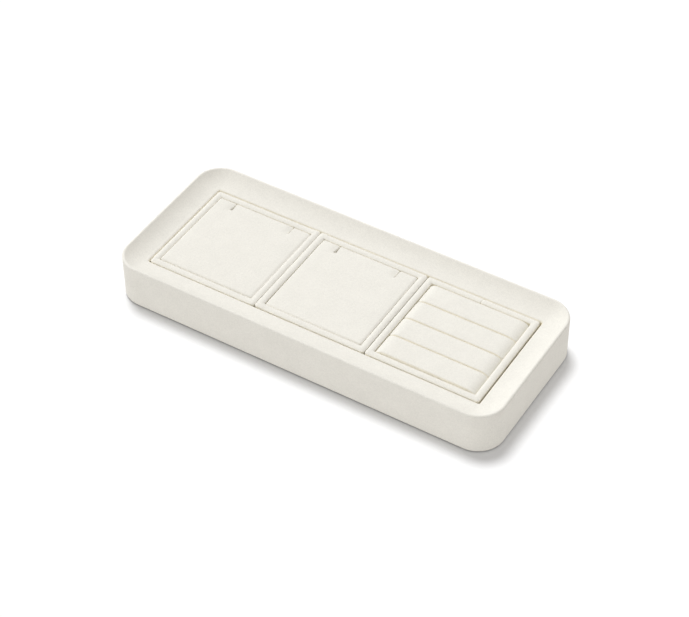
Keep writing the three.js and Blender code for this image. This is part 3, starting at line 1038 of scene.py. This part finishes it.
class TRAY_OT_wrap_frames(bpy.types.Operator):
    """Wraps the bead frames of the three inserts in suede"""

    bl_idname = "display_tray.wrap_frames"
    bl_label = "Wrap Frames"

    def wrap(self, context, name):
        """Wraps one frame. The frame without a ledge has a seam across its back bead."""
        ledge_play, shade_start, raised_depth, least_up = 0.2 * MM, 0.5 * MM, 1.5 * MM, -0.2
        wave, wave_size, seed = 0.03 * MM, 8 * MM, 20 + list(INSERT_BODIES).index(name)
        insert, suede = context.scene.insert_sizes, context.scene.tray_sizes.suede
        low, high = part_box(f"{name}_frame_cover")
        half, height = (high.x - low.x) / 2, high.z - low.z
        centre = (low + high) / 2
        has_ledge = name in PAD_BODIES
        if has_ledge:
            inner_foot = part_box(f"{name}_pad_cover")[0].z - low.z - ledge_play
        else:
            inner_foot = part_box(f"{name}_roll_cover_1")[0].z - low.z
        fold = inner_foot - suede if has_ledge else inner_foot
        section = frame_section(insert, suede, height, inner_foot, fold, has_ledge)
        side_points, corner_steps = 57, 6
        shares = np.linspace(0, 1, side_points)
        if not has_ledge:
            shares = finer_in_middle(shares)
        loops = []
        for inset, level in section:
            corner = max(insert.corner - inset, insert.inner_corner)
            loop = rounded_loop(half - inset, half - inset, corner, corner_steps, shares)
            loops.append(at_height(loop, low.z + level) + (centre.x, centre.y, 0))
        skin = Surface()
        skin.rings(loops, closed=True)
        piece = skin.object(f"{name}_frame_skin", finish_of("suede"))

        def rule(places, normals):
            """The skin's waves, the seam, and the beads where two frames meet."""
            reach = wave * waves(places, wave_size, seed)
            if not has_ledge:
                across = (places[:, 0] - centre.x) / insert.seam_width
                on_bead = (places[:, 1] > centre.y + half - insert.bead) & (normals[:, 2] > least_up)
                on_bead &= places[:, 2] > high.z - insert.bead
                reach -= insert.seam_depth * np.exp(-(across**2)) * on_bead
            moves = normals * reach[:, None]
            moves[:, 1] -= SET_FORWARD.get(name, 0)
            if name in MEETING_SIDES:
                inset = half - MEETING_SIDES[name] * (places[:, 0] - centre.x)
                on_top = eased((places[:, 2] - high.z) / raised_depth + 2)
                moves[:, 2] += insert.meeting_rise * eased(3 - 2 * inset / insert.bead) * on_top
                if name == "middle":
                    moves[:, 0] -= insert.meeting_swell * eased(1 - 2 * inset / insert.bead)
            return moves

        shift_points(piece, rule)
        # Painted shade on the frame's walls that look into its opening
        mark_hollow_shade(piece, hollow_shade_share(piece, high.z - shade_start))
        place_piece(piece, INSERT_BODIES[name], "suede", f"{name}_frame_cover")
        cut = 2 * (half + height + insert.hem)
        opening = 2 * (half - insert.bead) - 2 * (height - inner_foot)
        area = cut * cut - max(opening, 0) ** 2

    def execute(self, context):
        for name in INSERT_BODIES:
            self.wrap(context, name)
        return {"FINISHED"}


class TRAY_OT_pad_inserts(bpy.types.Operator):
    """Upholsters the two pads, with their slits"""

    bl_idname = "display_tray.pad_inserts"
    bl_label = "Upholster Pads"

    def upholster(self, context, name, puffed):
        """Upholsters one pad."""
        card_play, top_depth, flatness = 0.1 * MM, 2.5 * MM, 16
        top_steps, fold_steps, card_steps = 8, 4, 2
        wave, wave_size, seed = 0.04 * MM, 11 * MM, 30 + list(PAD_BODIES).index(name)
        pad, suede = context.scene.pad_sizes, context.scene.tray_sizes.suede
        low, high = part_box(f"{name}_pad_cover")
        half = (high.x - low.x) / 2 + pad.swell
        centre = np.array([(low.x + high.x) / 2, (low.y + high.y) / 2, 0])
        card_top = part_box(f"{name}_pad_board")[1].z + card_play
        profile = path(
            arc((pad.edge, high.z - pad.edge), pad.edge, 90, 180, top_steps),
            run((0, high.z - pad.edge), (0, low.z + pad.lower_edge), fold_steps),
            arc((pad.lower_edge, low.z + pad.lower_edge), pad.lower_edge, 180, 270, fold_steps),
            run((pad.lower_edge, low.z), (pad.hem, low.z), fold_steps),
            run((pad.hem, low.z + suede), (suede, low.z + suede), fold_steps),
            run((suede, low.z + suede), (suede, card_top), card_steps),
        )
        cushion = Surface()
        numbers = cushion.rings([at_height(pad_outline(pad, half, inset), level) for inset, level in profile])
        cushion.fill(numbers[0], pad.fill_step)
        cushion.fill(numbers[-1], FLAT_STEP)
        cushion.points = [tuple(np.array(point) + centre) for point in cushion.points]
        piece = cushion.object(f"{name}_pad_cushion", finish_of("suede"))

        def rule(places, normals):
            """The stuffed top, the dips at the slits, the sunk corner and the softer right edge."""
            across, along = (places[:, 0] - centre[0]) / half, (places[:, 1] - centre[1]) / half
            bulge = np.clip(1 - across**flatness, 0, 1) * np.clip(1 - along**flatness, 0, 1)
            depth = np.clip((high.z - places[:, 2]) / top_depth, 0, 1)
            stuffed = pad.crown + pad.puff * sampled(puffed, across, along)
            lift = (stuffed + wave * waves(places, wave_size, seed)) * bulge * (depth < 0.01)
            lift -= slit_dips(pad, half, places - centre) * (1 - depth)
            if name in SUNK_CORNERS:
                lift -= SUNK_CORNERS[name] * (1 - across) / 2 * (1 - along) / 2 * (1 - depth)
            inset = half * (1 - across)
            softer = edge_fall(pad.edge, pad.edge, inset)
            softer -= edge_fall(pad.soft_edge, pad.soft_edge * math.sin(pad.soft_slope), inset)
            lift += SOFT_SIDES[name] * softer * np.clip((places[:, 2] - high.z) / pad.edge + 2, 0, 1)
            forward = SET_FORWARD.get(name, 0) + pad.back_play * (1 + along) / 2
            return np.stack([0 * lift, -forward, lift], 1)

        shift_points(piece, rule)
        place_piece(piece, PAD_BODIES[name], "suede", f"{name}_pad_cover", f"{name}_pad_foam")

    def execute(self, context):
        puffed = puffed_sheet(steps=24)
        for name in PAD_BODIES:
            self.upholster(context, name, puffed)
        return {"FINISHED"}


class TRAY_OT_pad_rolls(bpy.types.Operator):
    """Upholsters the row of rolls"""

    bl_idname = "display_tray.pad_rolls"
    bl_label = "Upholster Rolls"

    def execute(self, context):
        most_turn, side_start, side_span = 0.995, 0.3, 0.6
        end_rings, middle_rings = 24, 45
        roll = context.scene.roll_sizes
        covers = [f"ring_roll_cover_{number + 1}" for number in range(roll.count)]
        foams = [f"ring_roll_foam_{number + 1}" for number in range(roll.count)]
        low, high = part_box(covers[0])
        half_length, half_width = (high.x - low.x) / 2, (high.y - low.y) / 2
        ending = half_length - roll.end_length * (1 - np.sin(np.linspace(0, np.pi / 2, end_rings)))
        middle = np.linspace(-ending[0], ending[0], middle_rings + 2)[1:-1]
        rings = []
        for x in np.concatenate([-ending[::-1], middle, ending]):
            share = max(abs(x) - ending[0], 0) / roll.end_length
            turn = np.clip((abs(x) - half_length + roll.end_edge) / roll.end_edge, 0, most_turn)
            drawn_in = roll.end_edge * (1 - math.sqrt(1 - turn * turn))
            end_fall = roll.end_drop * share**3 + drawn_in
            section = roll_section(roll, half_width - drawn_in, low.z, high.z, end_fall)
            rings.append(np.column_stack([np.full(len(section), x), section]))
        form = Surface()
        numbers = form.rings(rings)
        for ring in (numbers[0], numbers[-1]):
            form.faces.append(tuple(ring))
        base = bpy.data.meshes.new("roll_form")
        base.from_pydata(form.points, [], [tuple(int(corner) for corner in face) for face in form.faces])
        material = finish_of("suede")
        centres = [(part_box(cover)[0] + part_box(cover)[1]) / 2 for cover in covers]
        values = {
            "Count": roll.count,
            "Pitch": centres[1].y - centres[0].y - (roll.back_play - roll.front_set) / (roll.count - 1),
            "First": (centres[0].x, centres[0].y - roll.front_set, 0),
            **uneven_values(roll, material),
        }
        rolls = grown("ring_rolls", base, roll_tree(), values, material)
        sideways = np.abs(points_of(rolls.data)[1][:, 1])
        # Painted shade on the rolls' sides down in the grooves
        mark_hollow_shade(rolls, roll.groove_shade * eased((sideways - side_start) / side_span))
        place_piece(rolls, "ring_insert", "suede", *covers, *foams)
        return {"FINISHED"}


class TRAY_OT_finish_boards(bpy.types.Operator):
    """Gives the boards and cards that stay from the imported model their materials"""

    bl_idname = "display_tray.finish_boards"
    bl_label = "Finish Boards"

    def execute(self, context):
        boards = ["tray_core", "base_board", *(f"{name}_frame_core" for name in INSERT_BODIES)]
        cards = [f"{name}_insert_base" for name in INSERT_BODIES]
        cards += [*(f"{name}_pad_board" for name in PAD_BODIES), "ring_roll_board"]
        for kind, names in (("board", boards), ("card", cards)):
            for name in names:
                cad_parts[name].data.materials.clear()
                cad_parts[name].data.materials.append(finish_of(kind))
        return {"FINISHED"}


def direction(azimuth, elevation):
    """The unit vector towards a place round from +X and above the floor."""
    flat = math.cos(elevation)
    return Vector((flat * math.cos(azimuth), flat * math.sin(azimuth), math.sin(elevation)))


class TRAY_OT_set_stage(bpy.types.Operator):
    """Sets the floor, the soft light and the camera"""

    bl_idname = "display_tray.set_stage"
    bl_label = "Set Stage"

    def lay_floor(self, stage):
        """Lays the pale floor, which throws less light back than it shows."""
        material, tree = new_material("pale_floor")
        shows = tree.ray("Is Camera Ray") + tree.ray("Is Glossy Ray") + tree.ray("Is Transmission Ray")
        colour = tree.mix(shows, (*stage.floor_bounce, 1.0), (*stage.floor, 1.0))
        diffuse = tree.add("ShaderNodeBsdfDiffuse", {}, {"Color": colour})
        gap = tree.ray("Ray Length")
        away = tree.add("ShaderNodeMath", {"operation": "GREATER_THAN"}, {0: gap, 1: stage.contact})
        glow = tree.add("ShaderNodeEmission", {}, {"Strength": (1 - shows) * away * stage.floor_glow})
        tree.surface(tree.add("ShaderNodeAddShader", {}, {0: diffuse, 1: glow}))
        reach = 4.0
        corners = [(-reach, -reach, 0), (reach, -reach, 0), (reach, reach, 0), (-reach, reach, 0)]
        mesh = bpy.data.meshes.new("floor")
        mesh.from_pydata(corners, [], [(0, 1, 2, 3)])
        mesh.materials.append(material)
        floor = bpy.data.objects.new("floor", mesh)
        bpy.context.scene.collection.objects.link(floor)
        return floor

    def light(self, stage, floor):
        """Sets the even light, a key and a fill that spare the floor, and a lamp for the floor alone."""
        world = bpy.data.worlds.new("even_light")
        bpy.context.scene.world = world
        world.use_nodes = True
        world.node_tree.nodes.clear()
        tree = Tree(world.node_tree)
        seen = tree.ray("Is Camera Ray")
        colour = tree.mix(seen, (*stage.sky_colour, 1.0), (1.0, 1.0, 1.0, 1.0))
        strength_seen = seen * (1 - stage.sky) + stage.sky
        sky = tree.add("ShaderNodeBackground", {}, {"Color": colour, "Strength": strength_seen})
        tree.add("ShaderNodeOutputWorld", {}, {"Surface": sky})
        for name, softness, hue, state in (
            ("key", stage.lamp_softness, stage.lamp_colour, "EXCLUDE"),
            ("fill", stage.lamp_softness, stage.lamp_colour, "EXCLUDE"),
            ("floor_lamp", stage.floor_lamp_softness, (1.0, 1.0, 1.0), "INCLUDE"),
        ):
            lamp = bpy.data.lights.new(name, "SUN")
            lamp.energy = getattr(stage, name)
            lamp.angle = softness
            lamp.color = hue
            hung = bpy.data.objects.new(name, lamp)
            towards = direction(getattr(stage, name + "_azimuth"), getattr(stage, name + "_elevation"))
            hung.rotation_mode = "QUATERNION"
            hung.rotation_quaternion = towards.to_track_quat("Z", "Y")
            bpy.context.scene.collection.objects.link(hung)
            lit = bpy.data.collections.new(name + "_reach")
            lit.objects.link(floor)
            lit.collection_objects[0].light_linking.link_state = state
            hung.light_linking.receiver_collection = lit

    def aim_camera(self):
        """Looks at the tray from the front right. The focal length and the shift are in pixels."""
        azimuth, elevation, roll = np.radians((32.166, 44.368, -0.657)).tolist()
        distance, focal, shift = 1.13967, 2052.07, (1.83, 10.993)
        picture_width, sensor = 689, 36
        back = Vector(
            (
                math.sin(azimuth) * math.cos(elevation),
                -math.cos(azimuth) * math.cos(elevation),
                math.sin(elevation),
            )
        )
        level = Vector((math.cos(azimuth), math.sin(azimuth), 0))
        upward = back.cross(level)
        right = math.cos(roll) * level + math.sin(roll) * upward
        up = math.cos(roll) * upward - math.sin(roll) * level
        lens = bpy.data.cameras.new("camera")
        lens.sensor_fit = "HORIZONTAL"
        lens.sensor_width = sensor
        lens.lens = sensor * focal / picture_width
        lens.shift_x, lens.shift_y = shift[0] / picture_width, shift[1] / picture_width
        lens.clip_start, lens.clip_end = 0.01, 50
        camera = bpy.data.objects.new("camera", lens)
        turn = Matrix((right, up, back)).transposed().to_4x4()
        camera.matrix_world = Matrix.Translation(back * distance) @ turn
        bpy.context.scene.collection.objects.link(camera)
        bpy.context.scene.camera = camera

    def execute(self, context):
        stage = context.scene.stage_sizes
        context.scene.view_settings.view_transform = "Standard"
        self.light(stage, self.lay_floor(stage))
        self.aim_camera()
        return {"FINISHED"}


OPERATORS = (
    TRAY_OT_wrap_rim,
    TRAY_OT_line_tray,
    TRAY_OT_wrap_frames,
    TRAY_OT_pad_inserts,
    TRAY_OT_pad_rolls,
    TRAY_OT_finish_boards,
    TRAY_OT_set_stage,
)

SETTINGS = {
    "tray_sizes": TraySizes,
    "insert_sizes": InsertSizes,
    "pad_sizes": PadSizes,
    "roll_sizes": RollSizes,
    "tray_finishes": Finishes,
    "stage_sizes": StageSizes,
}


class TRAY_PT_panel(bpy.types.Panel):
    """Lists the tray's pieces and their sizes"""

    bl_idname = "TRAY_PT_panel"
    bl_label = "Display Tray"
    bl_space_type = "VIEW_3D"
    bl_region_type = "UI"
    bl_category = "Display Tray"

    def draw(self, context):
        for operator in OPERATORS:
            self.layout.operator(operator.bl_idname)
        for name in SETTINGS:
            group = getattr(context.scene, name)
            box = self.layout.box()
            for prop in group.bl_rna.properties:
                if prop.identifier not in ("rna_type", "name"):
                    box.prop(group, prop.identifier)


def register():
    """Makes the settings, the operators and the panel known."""
    for group in SETTINGS.values():
        bpy.utils.register_class(group)
    for name, group in SETTINGS.items():
        setattr(bpy.types.Scene, name, PointerProperty(type=group))
    for operator in OPERATORS:
        bpy.utils.register_class(operator)
    bpy.utils.register_class(TRAY_PT_panel)


def unregister():
    """Takes back what register made known."""
    bpy.utils.unregister_class(TRAY_PT_panel)
    for operator in reversed(OPERATORS):
        bpy.utils.unregister_class(operator)
    for name, group in SETTINGS.items():
        delattr(bpy.types.Scene, name)
        bpy.utils.unregister_class(group)


def main():
    """Builds all pieces and the stage."""
    register()
    bpy.ops.display_tray.wrap_rim()
    bpy.ops.display_tray.line_tray()
    bpy.ops.display_tray.wrap_frames()
    bpy.ops.display_tray.pad_inserts()
    bpy.ops.display_tray.pad_rolls()
    bpy.ops.display_tray.finish_boards()
    bpy.ops.display_tray.set_stage()


if __name__ == "__main__":
    main()
